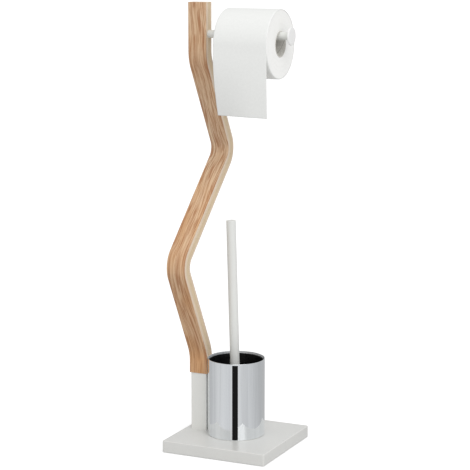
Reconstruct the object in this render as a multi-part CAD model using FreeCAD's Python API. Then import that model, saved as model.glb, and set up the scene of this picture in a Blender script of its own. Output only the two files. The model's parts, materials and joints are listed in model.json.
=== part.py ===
import FreeCAD, Part
import math
import os

# Free-standing bathroom stand: a square board carries a bent laminated post with a
# toilet-roll arm, and a round cup with its brush. Millimetres, +Z up, -Y is the front.
# The origin is on the floor under the middle of the board.

# Board and its pads
BOARD_THICK = 19.7
BOARD_MARGIN = 10.4         # from the post's outer side to the board's edge
BOARD_CORNER_R = 3.0
BOARD_EDGE_R = 1.5
PAD_R = 9.0
PAD_THICK = 0.5
PAD_INSET = 16.0            # from the board's edge to a corner pad's centre

# Cup
CUP_R = 47.0
CUP_HEIGHT = 128.5
SLEEVE_WALL = 0.8
SLEEVE_RIM_R = 0.3
FLOOR_PLATE_THICK = 0.8
CUP_PAD_THICK = 0.8
CUP_PAD_INSET = 0.4
LINER_WALL = 1.6
LINER_FLOOR = 2.0
LINER_GAP = 0.4             # between the liner and the sleeve
LINER_DROP = 3.4            # from the sleeve's rim down to the liner's rim
LINER_CORNER_R = 5.0

# Black trim strip let into a slot of the sleeve
STRIP_ANGLE = -67.4         # degrees about +Z, from +X
STRIP_WIDTH = 9.4
STRIP_PROUD = 1.0
STRIP_EDGE = 0.25           # height of the strip's long edges above the sleeve
STRIP_TOP_GAP = 2.0
STRIP_BOTTOM_GAP = 0.8
SLOT_WIDTH = 6.0
SLOT_END_COVER = 2.5        # how far the strip runs past the slot's ends
SLOT_GAP = 0.1

# Foot block
CUP_TO_POST = 1.8
FOOT_HEIGHT = 97.4
FOOT_SIDE_INSET = 2.0
FOOT_FACE_INSET = 1.0
FOOT_EDGE_R = 1.0

# Post: corners of its centreline, from the foot up
POST_WIDTH = 32.0
POST_THICK = 20.0
VENEER = 1.0
VENEER_EDGE_R = 0.6
FRONT_REACH = 88.0
BACK_REACH = 90.5
RISE_TO_LOWER_KNEE = 34.6
RISE_TO_FRONT_KNEE = 160.8
RISE_TO_BACK_KNEE = 166.7
RISE_TO_UPPER_KNEE = 157.8
RISE_TO_TOP = 90.5
LOWER_KNEE_R = 68.0
FRONT_KNEE_R = 29.0
BACK_KNEE_R = 29.0
UPPER_KNEE_R = 48.0

# Screws up through the board, and dowels between the foot and the post
FASTENER_SPREAD = 8.0       # half the distance between the two screws, and the two dowels
SCREW_R = 2.25
SCREW_LENGTH = 50.0
SCREW_HEAD_R = 4.5
SCREW_HEAD_DEPTH = 2.6
SCREW_SINK = 0.3
SCREW_RECESS_R = 2.0
SCREW_RECESS_DEPTH = 1.6
SCREW_TIP = 4.0
SCREW_TIP_R = 0.5
DOWEL_R = 4.0
DOWEL_LENGTH = 40.0
END_GAP = 1.0               # beyond the end of a screw, dowel, insert or link
FIT_GAP = 0.05              # radial gap of glued, screwed and pressed pieces
TOUCH = 1e-3                # how near a point counts as on an edge or a level

# Roll arm
ARM_BELOW_TOP = 50.6
ARM_R = 6.5
ARM_WALL = 2.0
ARM_LENGTH = 142.6
DISC_R = 14.75
DISC_THICK = 3.0
DISC_EDGE_R = 1.0
SPIGOT_LENGTH = 12.0
ARM_PLUG_LENGTH = 18.0
STUD_R = 3.0
STUD_IN_ARM = 14.0
STUD_IN_POST = 12.0
INSERT_R = 5.0
INSERT_LENGTH = 14.0

# Paper roll on the arm
ROLL_R = 55.0
ROLL_WIDTH = 92.0
ROLL_FROM_POST = 34.0
ROLL_EDGE_R = 1.5
CORE_BORE_R = 19.8
CORE_WALL = 1.0
HANG_GAP = 0.2              # between the arm and the core that hangs on it
SHEET_THICK = 1.0
SHEET_GAP = 0.3
SHEET_DROP = 113.0          # from the roll's axis down to the sheet's free edge
SHEET_STRAIGHT = 30.0       # length below the axis that still hangs straight
SHEET_LEFT_BACK = 17.0      # how far the free edge's left corner hangs back
SHEET_RIGHT_BACK = 3.0

# Brush, built upright on its own axis and then leaned
BRUSH_LEAN = 1.7            # degrees towards -X
BRUSH_X = 0.8
BRUSH_STAND_GAP = 0.2       # between the lowest bristle tips and the liner's floor
BRUSH_LENGTH = 352.1
HANDLE_R = 7.8
HANDLE_WALL = 1.2
HANDLE_CAP_PLUG = 8.0
HANDLE_CAP_THICK = 2.0
HANDLE_EDGE_R = 0.6
HEAD_CORE_R = 11.0
BRISTLE_GAP = 7.0           # between the bristle tips and the liner
BRISTLE_HEIGHT = 76.0
BRISTLE_TIP_R = 14.0
BRISTLE_SHOULDER_R = 6.0
BRISTLE_UNDER_CORE = 14.0
COLLAR_R = 10.0
COLLAR_HEIGHT = 18.0
COLLAR_EDGE_R = 2.0
LINK_R = 4.0
LINK_IN_HEAD = 16.0
LINK_IN_HANDLE = 16.0
PLUG_LENGTH = 22.0

# Heights and places that follow from them
BOARD_TOP = PAD_THICK + BOARD_THICK
BOARD_HALF = CUP_R + CUP_TO_POST + POST_WIDTH + BOARD_MARGIN
POST_RIGHT = -(CUP_R + CUP_TO_POST)
POST_LEFT = POST_RIGHT - POST_WIDTH
POST_X = (POST_LEFT + POST_RIGHT) / 2
FOOT_TOP = BOARD_TOP + FOOT_HEIGHT
SLEEVE_BOTTOM = BOARD_TOP + CUP_PAD_THICK
SLEEVE_TOP = BOARD_TOP + CUP_HEIGHT
LINER_BOTTOM = SLEEVE_BOTTOM + FLOOR_PLATE_THICK
LINER_R = CUP_R - SLEEVE_WALL - LINER_GAP
BRISTLE_R = LINER_R - LINER_WALL - BRISTLE_GAP
ARM_BORE_R = ARM_R - ARM_WALL
HANDLE_BORE_R = HANDLE_R - HANDLE_WALL
UP = FreeCAD.Vector(0, 0, 1)
RIGHT = FreeCAD.Vector(1, 0, 0)


def at(x, y, z):
    return FreeCAD.Vector(x, y, z)


def rod(radius, length, x, y, z, axis=UP):
    return Part.makeCylinder(radius, length, at(x, y, z), axis)


def tube(outer, inner, length, x, y, z, axis=UP):
    return rod(outer, length, x, y, z, axis).cut(rod(inner, length, x, y, z, axis))


def turned(outline):
    """A solid of revolution about Z from (radius, height) points joined by straight lines."""
    points = [at(r, 0, h) for r, h in outline]
    wire = Part.makePolygon(points + points[:1])
    return Part.Face(wire).revolve(at(0, 0, 0), UP, 360)


def edges_at(shape, test):
    """The edges whose middle point passes a test."""
    found = []
    for edge in shape.Edges:
        middle = edge.valueAt((edge.FirstParameter + edge.LastParameter) / 2)
        if test(middle):
            found.append(edge)
    return found


def fastener_places():
    return [POST_X - FASTENER_SPREAD, POST_X + FASTENER_SPREAD]


# --- Board ---------------------------------------------------------------------------

def board():
    side = 2 * BOARD_HALF
    slab = Part.makeBox(side, side, BOARD_THICK, at(-BOARD_HALF, -BOARD_HALF, PAD_THICK))
    middle = PAD_THICK + BOARD_THICK / 2
    slab = slab.makeFillet(BOARD_CORNER_R, edges_at(slab, lambda p: abs(p.z - middle) < 1))
    slab = slab.makeFillet(BOARD_EDGE_R, edges_at(slab, lambda p: abs(p.z - middle) > 1))
    for x in fastener_places():
        slab = slab.cut(rod(SCREW_R + FIT_GAP, BOARD_THICK, x, 0, PAD_THICK))
        slab = slab.cut(screw_head(x, FIT_GAP))
        slab = slab.cut(rod(SCREW_HEAD_R + FIT_GAP, SCREW_SINK, x, 0, PAD_THICK))
    return slab


def pads():
    out = BOARD_HALF - PAD_INSET
    places = [(0, 0), (-out, -out), (out, -out), (out, out), (-out, out)]
    return Part.Compound([rod(PAD_R, PAD_THICK, x, y, 0) for x, y in places])


# --- Foot and its fasteners ----------------------------------------------------------

def screw_head(x, gap):
    """The cone of a countersunk head, or its seat when a gap is given."""
    low = PAD_THICK + SCREW_SINK
    return Part.makeCone(SCREW_HEAD_R + gap, SCREW_R + gap, SCREW_HEAD_DEPTH, at(x, 0, low))


def screw(x):
    low = PAD_THICK + SCREW_SINK
    shank = rod(SCREW_R, SCREW_LENGTH - SCREW_TIP, x, 0, low)
    tip = Part.makeCone(SCREW_R, SCREW_TIP_R, SCREW_TIP, at(x, 0, low + SCREW_LENGTH - SCREW_TIP))
    recess = Part.makeCone(SCREW_RECESS_R, SCREW_RECESS_R / 2, SCREW_RECESS_DEPTH, at(x, 0, low))
    return screw_head(x, 0).fuse(shank).fuse(tip).cut(recess).removeSplitter()


def foot_screws():
    return Part.Compound([screw(x) for x in fastener_places()])


def dowels():
    low = FOOT_TOP - DOWEL_LENGTH / 2
    return Part.Compound([rod(DOWEL_R, DOWEL_LENGTH, x, 0, low) for x in fastener_places()])


def dowel_holes():
    low = FOOT_TOP - DOWEL_LENGTH / 2 - END_GAP
    length = DOWEL_LENGTH + 2 * END_GAP
    return [rod(DOWEL_R + FIT_GAP, length, x, 0, low) for x in fastener_places()]


def foot():
    width = POST_WIDTH - 2 * FOOT_SIDE_INSET
    depth = POST_THICK - 2 * FOOT_FACE_INSET
    corner = at(POST_X - width / 2, -depth / 2, BOARD_TOP)
    block = Part.makeBox(width, depth, FOOT_HEIGHT, corner)
    middle = BOARD_TOP + FOOT_HEIGHT / 2
    block = block.makeFillet(FOOT_EDGE_R, edges_at(block, lambda p: abs(p.z - middle) < 1))
    pilot = PAD_THICK + SCREW_SINK + SCREW_LENGTH + END_GAP - BOARD_TOP
    for x in fastener_places():
        block = block.cut(rod(SCREW_R + FIT_GAP, pilot, x, 0, BOARD_TOP))
    return block.cut(dowel_holes())


# --- Post ----------------------------------------------------------------------------

def post_corners():
    """Corners of the post's centreline in the YZ plane, from the foot up."""
    steps = [
        (0, RISE_TO_LOWER_KNEE),
        (-FRONT_REACH, RISE_TO_FRONT_KNEE),
        (BACK_REACH, RISE_TO_BACK_KNEE),
        (0, RISE_TO_UPPER_KNEE),
        (0, RISE_TO_TOP),
    ]
    height = FOOT_TOP
    corners = [at(0, 0, height)]
    for y, rise in steps:
        height += rise
        corners.append(at(0, y, height))
    return corners


def post_line(offset):
    """Edges of the bent line that runs beside the centreline, behind it for +offset."""
    corners = post_corners()
    ways = [(b - a).normalize() for a, b in zip(corners, corners[1:])]
    sides = [at(0, way.z, -way.y) for way in ways]
    radii = [LOWER_KNEE_R, FRONT_KNEE_R, BACK_KNEE_R, UPPER_KNEE_R]
    here = corners[0] + sides[0] * offset
    edges = []
    for i, radius in enumerate(radii):
        run = radius * math.tan(ways[i].getAngle(ways[i + 1]) / 2)
        bend = math.copysign(1, sides[i].dot(ways[i + 1]))
        entry = corners[i + 1] - ways[i] * run
        centre = entry + sides[i] * (radius * bend)
        start = entry + sides[i] * offset
        end = corners[i + 1] + ways[i + 1] * run + sides[i + 1] * offset
        middle = centre - (sides[i] + sides[i + 1]).normalize() * (radius * bend - offset)
        edges.append(Part.LineSegment(here, start).toShape())
        edges.append(Part.Arc(start, middle, end).toShape())
        here = end
    edges.append(Part.LineSegment(here, corners[-1] + sides[-1] * offset).toShape())
    return edges


def post_layer(front, back):
    """The layer of the post between two offsets from its centreline."""
    front_line = post_line(front)
    back_line = post_line(back)
    ends = [
        Part.LineSegment(at(0, front, FOOT_TOP), at(0, back, FOOT_TOP)).toShape(),
        Part.LineSegment(at(0, front, post_top()), at(0, back, post_top())).toShape(),
    ]
    wire = Part.Wire(Part.__sortEdges__(front_line + back_line + ends))
    wire.translate(at(POST_LEFT, 0, 0))
    return Part.Face(wire).extrude(at(POST_WIDTH, 0, 0))


def post_top():
    return post_corners()[-1].z


def veneer(inner, outer):
    """A face veneer, with the long edges of its outer side rounded."""
    layer = post_layer(min(inner, outer), max(inner, outer))
    long_edges = []
    for x in (POST_LEFT, POST_RIGHT):
        line = Part.Wire(post_line(outer))
        line.translate(at(x, 0, 0))
        long_edges += edges_at(layer, lambda p: line.distToShape(Part.Vertex(p))[0] < TOUCH)
    return layer.makeFillet(VENEER_EDGE_R, long_edges)


def front_veneer():
    return veneer(VENEER - POST_THICK / 2, -POST_THICK / 2)


def back_veneer():
    return veneer(POST_THICK / 2 - VENEER, POST_THICK / 2)


def post_core():
    half = POST_THICK / 2 - VENEER
    core = post_layer(-half, half)
    hole_x = POST_RIGHT - INSERT_LENGTH - END_GAP
    hole_length = INSERT_LENGTH + END_GAP
    hole = rod(INSERT_R + FIT_GAP, hole_length, hole_x, 0, arm_height(), RIGHT)
    return core.cut(dowel_holes() + [hole])


# --- Roll arm ------------------------------------------------------------------------

def arm_height():
    return post_top() - ARM_BELOW_TOP


def arm_insert():
    x = POST_RIGHT - INSERT_LENGTH
    return tube(INSERT_R, STUD_R + FIT_GAP, INSERT_LENGTH, x, 0, arm_height(), RIGHT)


def arm_stud():
    x = POST_RIGHT - STUD_IN_POST
    return rod(STUD_R, STUD_IN_POST + STUD_IN_ARM, x, 0, arm_height(), RIGHT)


def arm_rod():
    return tube(ARM_R, ARM_BORE_R, ARM_LENGTH, POST_RIGHT, 0, arm_height(), RIGHT)


def arm_plug():
    """The threaded plug in the post end of the arm's tube."""
    outer = ARM_BORE_R - FIT_GAP
    inner = STUD_R + FIT_GAP
    return tube(outer, inner, ARM_PLUG_LENGTH, POST_RIGHT, 0, arm_height(), RIGHT)


def arm_end_disc():
    x = POST_RIGHT + ARM_LENGTH
    disc = rod(DISC_R, DISC_THICK, x, 0, arm_height(), RIGHT)
    rims = [e for e in disc.Edges if e.Closed]
    disc = disc.makeFillet(DISC_EDGE_R, rims)
    spigot_x = x - SPIGOT_LENGTH
    return disc.fuse(rod(ARM_BORE_R - FIT_GAP, SPIGOT_LENGTH, spigot_x, 0, arm_height(), RIGHT))


# --- Paper roll ----------------------------------------------------------------------

def roll_height():
    return arm_height() - (CORE_BORE_R - ARM_R - HANG_GAP)


def roll_left():
    return POST_RIGHT + ROLL_FROM_POST


def roll_core():
    outer = CORE_BORE_R + CORE_WALL
    return tube(outer, CORE_BORE_R, ROLL_WIDTH, roll_left(), 0, roll_height(), RIGHT)


def paper_roll():
    inner = CORE_BORE_R + CORE_WALL + FIT_GAP
    body = rod(ROLL_R, ROLL_WIDTH, roll_left(), 0, roll_height(), RIGHT)
    body = body.makeFillet(ROLL_EDGE_R, [e for e in body.Edges if e.Closed])
    return body.cut(rod(inner, ROLL_WIDTH, roll_left(), 0, roll_height(), RIGHT))


def sheet_section(height, left_back, right_back):
    """The outline of the hanging sheet at one height, set back at its left and right."""
    front = -(ROLL_R + SHEET_GAP + SHEET_THICK)
    left = roll_left()
    right = left + ROLL_WIDTH
    points = [
        at(left, front + left_back, height),
        at(right, front + right_back, height),
        at(right, front + right_back + SHEET_THICK, height),
        at(left, front + left_back + SHEET_THICK, height),
    ]
    return Part.makePolygon(points + points[:1])


def hanging_sheet():
    top = sheet_section(roll_height(), 0, 0)
    bend = sheet_section(roll_height() - SHEET_STRAIGHT, 0, 0)
    edge = sheet_section(roll_height() - SHEET_DROP, SHEET_LEFT_BACK, SHEET_RIGHT_BACK)
    upper = Part.makeLoft([top, bend], True, True)
    lower = Part.makeLoft([bend, edge], True, True)
    return upper.fuse(lower)


# --- Cup -----------------------------------------------------------------------------

def strip_span():
    """Lowest and highest level of the black strip."""
    return SLEEVE_BOTTOM + STRIP_BOTTOM_GAP, SLEEVE_TOP - STRIP_TOP_GAP


def at_strip(shape):
    return shape.rotate(at(0, 0, 0), UP, STRIP_ANGLE)


def strip_web(width, extra):
    """A bar through the sleeve's slot, or the slot itself, along +X before it is turned."""
    low, high = strip_span()
    low += SLOT_END_COVER - extra
    high -= SLOT_END_COVER - extra
    inner = CUP_R - SLEEVE_WALL
    return Part.makeBox(SLEEVE_WALL + STRIP_EDGE, width, high - low, at(inner, -width / 2, low))


def cup_sleeve():
    height = SLEEVE_TOP - SLEEVE_BOTTOM
    sleeve = tube(CUP_R, CUP_R - SLEEVE_WALL, height, 0, 0, SLEEVE_BOTTOM)
    rim = [e for e in sleeve.Edges if e.Closed and abs(e.Vertexes[0].Z - SLEEVE_TOP) < TOUCH]
    sleeve = sleeve.makeFillet(SLEEVE_RIM_R, rim)
    low, high = strip_span()
    slot_length = high - low - 2 * SLOT_END_COVER
    inside = CUP_R - 2 * SLEEVE_WALL - STRIP_EDGE
    corner = at(inside, -SLOT_WIDTH / 2, low + SLOT_END_COVER)
    slot = Part.makeBox(CUP_R - inside + STRIP_EDGE, SLOT_WIDTH, slot_length, corner)
    return sleeve.cut(at_strip(slot))


def cup_strip():
    low, high = strip_span()
    half = STRIP_WIDTH / 2
    edge = math.sqrt(CUP_R ** 2 - half ** 2) + STRIP_EDGE
    inner = CUP_R - SLEEVE_WALL
    crown = Part.Arc(at(edge, -half, low), at(CUP_R + STRIP_PROUD, 0, low), at(edge, half, low))
    back = Part.makePolygon([at(edge, half, low), at(inner, half, low), at(inner, -half, low),
                             at(edge, -half, low)])
    outline = Part.Wire([crown.toShape()] + back.Edges)
    cap = Part.Face(outline).extrude(at(0, 0, high - low))
    cap = cap.cut(rod(CUP_R, high, 0, 0, 0))
    web = strip_web(SLOT_WIDTH - 2 * SLOT_GAP, -SLOT_GAP)
    return at_strip(cap.fuse(web).removeSplitter())


def cup_floor_plate():
    return rod(CUP_R - SLEEVE_WALL - FIT_GAP, FLOOR_PLATE_THICK, 0, 0, SLEEVE_BOTTOM)


def cup_pad():
    return rod(CUP_R - CUP_PAD_INSET, CUP_PAD_THICK, 0, 0, BOARD_TOP)


def cup_liner():
    height = SLEEVE_TOP - LINER_DROP - LINER_BOTTOM
    outside = rod(LINER_R, height, 0, 0, LINER_BOTTOM)
    foot_edge = [e for e in outside.Edges if e.Closed and e.Vertexes[0].Z < LINER_BOTTOM + 1]
    outside = outside.makeFillet(LINER_CORNER_R, foot_edge)
    floor = LINER_BOTTOM + LINER_FLOOR
    inside = rod(LINER_R - LINER_WALL, height, 0, 0, floor)
    floor_edge = [e for e in inside.Edges if e.Closed and e.Vertexes[0].Z < floor + 1]
    inside = inside.makeFillet(LINER_CORNER_R - LINER_WALL, floor_edge)
    return outside.cut(inside)


# --- Brush ---------------------------------------------------------------------------

def leaned(shape):
    """Stand an upright brush piece in the liner, leaning towards -X."""
    floor = LINER_BOTTOM + LINER_FLOOR + BRUSH_STAND_GAP
    dip = BRISTLE_R * math.sin(math.radians(BRUSH_LEAN))
    shape = shape.rotate(at(0, 0, 0), at(0, 1, 0), -BRUSH_LEAN)
    return shape.translate(at(BRUSH_X, 0, floor + dip))


def collar_top():
    return BRISTLE_HEIGHT + COLLAR_HEIGHT


def bristles():
    bore = HEAD_CORE_R + FIT_GAP
    tuft = rod(BRISTLE_R, BRISTLE_HEIGHT, 0, 0, 0)
    low = [e for e in tuft.Edges if e.Closed and e.Vertexes[0].Z < 1]
    tuft = tuft.makeFillet(BRISTLE_TIP_R, low)
    high = [e for e in tuft.Edges if e.Closed and e.Vertexes[0].Z > BRISTLE_HEIGHT - 1]
    tuft = tuft.makeFillet(BRISTLE_SHOULDER_R, high)
    return leaned(tuft.cut(rod(bore, BRISTLE_HEIGHT, 0, 0, BRISTLE_UNDER_CORE)))


def head_core():
    neck = BRISTLE_HEIGHT + COLLAR_EDGE_R
    body = turned([
        (0, BRISTLE_UNDER_CORE),
        (HEAD_CORE_R, BRISTLE_UNDER_CORE),
        (HEAD_CORE_R, neck),
        (COLLAR_R, neck + COLLAR_EDGE_R),
        (COLLAR_R, collar_top() - COLLAR_EDGE_R),
        (HANDLE_R, collar_top()),
        (0, collar_top()),
    ])
    socket = LINK_IN_HEAD + END_GAP
    return leaned(body.cut(rod(LINK_R + FIT_GAP, socket, 0, 0, collar_top() - socket)))


def head_link():
    return leaned(rod(LINK_R, LINK_IN_HEAD + LINK_IN_HANDLE, 0, 0, collar_top() - LINK_IN_HEAD))


def handle_plug():
    outer = HANDLE_BORE_R - FIT_GAP
    return leaned(tube(outer, LINK_R + FIT_GAP, PLUG_LENGTH, 0, 0, collar_top()))


def handle_tube():
    length = BRUSH_LENGTH - collar_top() - HANDLE_CAP_THICK
    return leaned(tube(HANDLE_R, HANDLE_BORE_R, length, 0, 0, collar_top()))


def handle_cap():
    low = BRUSH_LENGTH - HANDLE_CAP_THICK
    cap = rod(HANDLE_R, HANDLE_CAP_THICK, 0, 0, low)
    rim = [e for e in cap.Edges if e.Closed and e.Vertexes[0].Z > BRUSH_LENGTH - TOUCH]
    cap = cap.makeFillet(HANDLE_EDGE_R, rim)
    plug = rod(HANDLE_BORE_R - FIT_GAP, HANDLE_CAP_PLUG, 0, 0, low - HANDLE_CAP_PLUG)
    return leaned(cap.fuse(plug))


PIECES = {
    "base_board": board,
    "base_pads": pads,
    "post_foot": foot,
    "foot_screws": foot_screws,
    "post_dowels": dowels,
    "post_front_veneer": front_veneer,
    "post_core": post_core,
    "post_back_veneer": back_veneer,
    "arm_insert": arm_insert,
    "arm_stud": arm_stud,
    "arm_rod": arm_rod,
    "arm_plug": arm_plug,
    "arm_end_disc": arm_end_disc,
    "cup_sleeve": cup_sleeve,
    "cup_strip": cup_strip,
    "cup_floor_plate": cup_floor_plate,
    "cup_pad": cup_pad,
    "cup_liner": cup_liner,
    "brush_bristles": bristles,
    "brush_head_core": head_core,
    "brush_link": head_link,
    "brush_handle_plug": handle_plug,
    "brush_handle": handle_tube,
    "brush_handle_cap": handle_cap,
    "paper_roll": paper_roll,
    "roll_core": roll_core,
    "hanging_sheet": hanging_sheet,
}


def main():
    os.makedirs("parts", exist_ok=True)
    for name, make in PIECES.items():
        shape = make()
        shape.exportStep(f"parts/{name}.step")
        box = shape.BoundBox
        print(f"{name}: valid {shape.isValid()}, solids {len(shape.Solids)}, "
              f"{box.XLength:.1f} x {box.YLength:.1f} x {box.ZLength:.1f} mm, "
              f"z {box.ZMin:.1f} to {box.ZMax:.1f}")


main()
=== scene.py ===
import json
import math
import random

import bmesh
import bpy
from bpy.props import FloatProperty, FloatVectorProperty, IntProperty, PointerProperty
from mathutils import Matrix, Vector, noise


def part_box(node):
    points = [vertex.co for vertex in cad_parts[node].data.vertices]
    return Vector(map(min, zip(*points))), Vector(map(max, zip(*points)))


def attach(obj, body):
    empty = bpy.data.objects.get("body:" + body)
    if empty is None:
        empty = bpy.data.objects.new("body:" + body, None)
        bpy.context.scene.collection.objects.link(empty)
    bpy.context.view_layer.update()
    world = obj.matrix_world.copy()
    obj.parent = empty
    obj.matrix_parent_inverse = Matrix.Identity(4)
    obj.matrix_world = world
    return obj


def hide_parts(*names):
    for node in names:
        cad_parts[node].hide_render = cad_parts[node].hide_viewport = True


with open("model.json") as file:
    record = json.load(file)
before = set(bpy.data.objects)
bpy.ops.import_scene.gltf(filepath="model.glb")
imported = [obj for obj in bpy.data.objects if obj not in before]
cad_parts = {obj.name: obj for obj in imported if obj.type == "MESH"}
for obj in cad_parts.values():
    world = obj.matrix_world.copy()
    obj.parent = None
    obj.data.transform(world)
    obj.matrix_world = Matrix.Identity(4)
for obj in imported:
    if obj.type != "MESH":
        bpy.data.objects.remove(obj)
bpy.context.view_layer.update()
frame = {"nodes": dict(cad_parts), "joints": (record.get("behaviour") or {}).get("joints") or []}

bl_info = {
    "name": "Toilet brush and roll stand",
    "version": (1, 0, 0),
    "blender": (4, 5, 0),
    "location": "3D View > Sidebar > Stand",
    "description": "Builds the looks of a free-standing brush and roll stand on its frame",
    "category": "Object",
}

# The frame's box and the boxes of the nodes that the pieces are built on, in metres
BOX = {name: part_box(name) for name in frame["nodes"]}
JOINT = {joint["name"]: joint for joint in frame["joints"]}
MILLIMETRE = 0.001
UP = Vector((0, 0, 1))


def size(default_mm, name, description):
    """A length property with its default in millimetres."""
    return FloatProperty(name=name, description=description, default=default_mm * MILLIMETRE,
                         min=0.0, subtype="DISTANCE", unit="LENGTH", precision=5)


def colour(red, green, blue, name, description):
    """A colour property with its default given as it looks on a screen, from 0 to 255."""
    linear = [((c / 255 + 0.055) / 1.055) ** 2.4 for c in (red, green, blue)]
    return FloatVectorProperty(name=name, description=description, default=(*linear, 1.0),
                               size=4, min=0.0, max=1.0, subtype="COLOR")


class StandSizes(bpy.types.PropertyGroup):
    """Sizes that the frame doesn't give."""

    lower_knee: size(34.6, "Lower knee", "Height of the post's lower knee above the foot")
    front_knee: size(195.4, "Front knee", "Height of the front knee above the foot")
    back_knee: size(362.1, "Back knee", "Height of the back knee above the foot")
    upper_knee: size(519.9, "Upper knee", "Height of the upper knee above the foot")
    front_reach: size(88.0, "Front reach", "How far the front knee stands forward")
    back_reach: size(90.5, "Back reach", "How far the back knee stands back")
    lower_radius: size(68.0, "Lower radius", "Bend radius of the lower knee")
    front_radius: size(29.0, "Front radius", "Bend radius of the front knee")
    back_radius: size(29.0, "Back radius", "Bend radius of the back knee")
    upper_radius: size(48.0, "Upper radius", "Bend radius of the upper knee")
    veneer: size(1.0, "Veneer", "Thickness of a face veneer")
    veneer_round: size(0.5, "Veneer edge", "Rounding of a face veneer's outer edges")
    glue_line: size(0.12, "Glue line", "Depth of the groove between two plies")
    ply_count: IntProperty(name="Plies", description="Plies in the core", default=9, min=1)
    sleeve_wall: size(0.8, "Sleeve wall", "Thickness of the cup's sleeve")
    liner_wall: size(1.6, "Liner wall", "Thickness of the cup's liner")
    liner_floor: size(2.0, "Liner floor", "Thickness of the liner's floor")
    bristle_height: size(76.0, "Bristles", "Height of the bristles")
    bristle_under: size(14.0, "Under core", "Length of the bristles under the head's core")
    head_radius: size(11.0, "Head core", "Radius of the brush head's core")
    collar_radius: size(10.0, "Collar", "Radius of the collar above the bristles")
    collar_height: size(18.0, "Collar height", "Height of the collar above the bristles")
    sheet_thick: size(0.22, "Tissue", "Thickness of the hanging tissue")
    sheet_gap: size(0.10, "Tissue gap", "Gap between the roll and its outer turn")
    sheet_left_back: size(17.0, "Left set back", "How far the free edge's left corner hangs back")
    sheet_right_back: size(3.0, "Right set back", "How far its right corner hangs back")


class StandColours(bpy.types.PropertyGroup):
    """Colours of the finishes."""

    lacquer: colour(231, 231, 227, "Foot lacquer", "White lacquer of the foot")
    board: colour(221, 221, 218, "Board lacquer", "White lacquer of the board")
    coat: colour(229, 230, 226, "Powder coat", "White coat of the arm")
    # Painted light: the end disc gets a brighter white than the arm's coat, standing in for the
    # light on its side-facing face
    disc: colour(243, 243, 242, "End disc", "White end disc of the arm")
    handle: colour(227, 228, 225, "Handle", "White plastic of the brush handle")
    veneer_light: colour(232, 206, 174, "Veneer light", "Early wood of the face veneer")
    veneer_mid: colour(206, 155, 104, "Veneer middle", "Middle tone of the face veneer")
    veneer_dark: colour(162, 102, 58, "Veneer dark", "Late wood of the face veneer")
    ply_light: colour(240, 221, 200, "Light ply", "Light plies of the core")
    ply_warm: colour(228, 205, 171, "Warm ply", "Yellower plies of the core")
    steel: colour(245, 248, 251, "Polished steel", "Sleeve of the cup")
    # Painted reflection: this darker steel tone draws upright bands that stand in for mirrored
    # studio bands, over lines that are partly real drawing marks
    steel_lines_and_painted_reflection: colour(212, 216, 220, "Steel shade", "Darker drawing bands of the sleeve")
    black: colour(14, 14, 15, "Black", "Liner, trim strip and brush head")
    trim: colour(6, 6, 6, "Trim", "Black trim strip of the cup")
    tissue: colour(243, 244, 242, "Tissue", "Paper roll and its hanging end")
    # Painted light: paler paint on the roll's cut ends stands in for light falling on them from
    # the side
    tissue_painted_light: colour(250, 250, 248, "Cut tissue", "Cut ends of the paper roll")
    core_grey: colour(232, 230, 224, "Core board", "Cardboard core of the roll")
    foam: colour(96, 97, 99, "Foam", "Pads under the board")
    # Painted light: the pad under the cup is pale so that the shaded gap under the sleeve looks
    # light
    pad_painted_light: colour(216, 216, 212, "Pale foam", "Pad under the cup")
    zinc: colour(190, 190, 186, "Zinc", "Screws, stud and links")
    brass: colour(206, 176, 116, "Brass", "Threaded insert in the post")
    beech: colour(214, 182, 140, "Beech", "Dowels between foot and post")


def sizes():
    return bpy.context.scene.stand_sizes


def tint(name):
    return tuple(getattr(bpy.context.scene.stand_colours, name))


# --- Shader building -----------------------------------------------------------------

WHITE = (1.0, 1.0, 1.0, 1.0)
FLOAT, COLOR, VECTOR = "NodeSocketFloat", "NodeSocketColor", "NodeSocketVector"
OUTPUT_KINDS = {"Color": COLOR, "Vector": VECTOR}


def put(tree, kind, inputs=None, **settings):
    """A node with its settings, its inputs set to values or linked to sockets."""
    made = tree.nodes.new(kind)
    for name, value in settings.items():
        setattr(made, name, value)
    for key, value in (inputs or {}).items():
        if isinstance(value, bpy.types.NodeSocket):
            tree.links.new(value, made.inputs[key])
        else:
            made.inputs[key].default_value = value
    return made


def calc(tree, operation, first, second=0.0):
    return put(tree, "ShaderNodeMath", {0: first, 1: second}, operation=operation).outputs[0]


def added(tree, first, second):
    return calc(tree, "ADD", first, second)


def times(tree, first, second):
    return calc(tree, "MULTIPLY", first, second)


def reach_of(tree, first, second):
    """Distance from an axis, from the two coordinates across it."""
    square = added(tree, times(tree, first, first), times(tree, second, second))
    return calc(tree, "SQRT", square)


def split(tree, vector):
    return put(tree, "ShaderNodeSeparateXYZ", {0: vector}).outputs


def shaded(tree, paint, shade):
    """A colour darkened by a grey value."""
    grey = put(tree, "ShaderNodeCombineColor", {0: shade, 1: shade, 2: shade}).outputs[0]
    return mixed(tree, 1.0, paint, grey, "MULTIPLY")


def mixed(tree, factor, first, second, mode="MIX"):
    values = {0: factor, 6: first, 7: second}
    return put(tree, "ShaderNodeMix", values, data_type="RGBA", blend_type=mode).outputs[2]


def noisy(tree, vector, scale, detail=2.0, roughness=0.5, distortion=0.0):
    values = {"Vector": vector, "Scale": scale, "Detail": detail, "Roughness": roughness,
              "Distortion": distortion}
    return put(tree, "ShaderNodeTexNoise", values).outputs["Fac"]


def cells(tree, vector, scale, randomness=1.0):
    values = {"Vector": vector, "Scale": scale, "Randomness": randomness}
    return put(tree, "ShaderNodeTexVoronoi", values).outputs["Distance"]


def stretched(tree, vector, scale, move=(0.0, 0.0, 0.0)):
    values = {"Vector": vector, "Scale": scale, "Location": move}
    return put(tree, "ShaderNodeMapping", values).outputs["Vector"]


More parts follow.
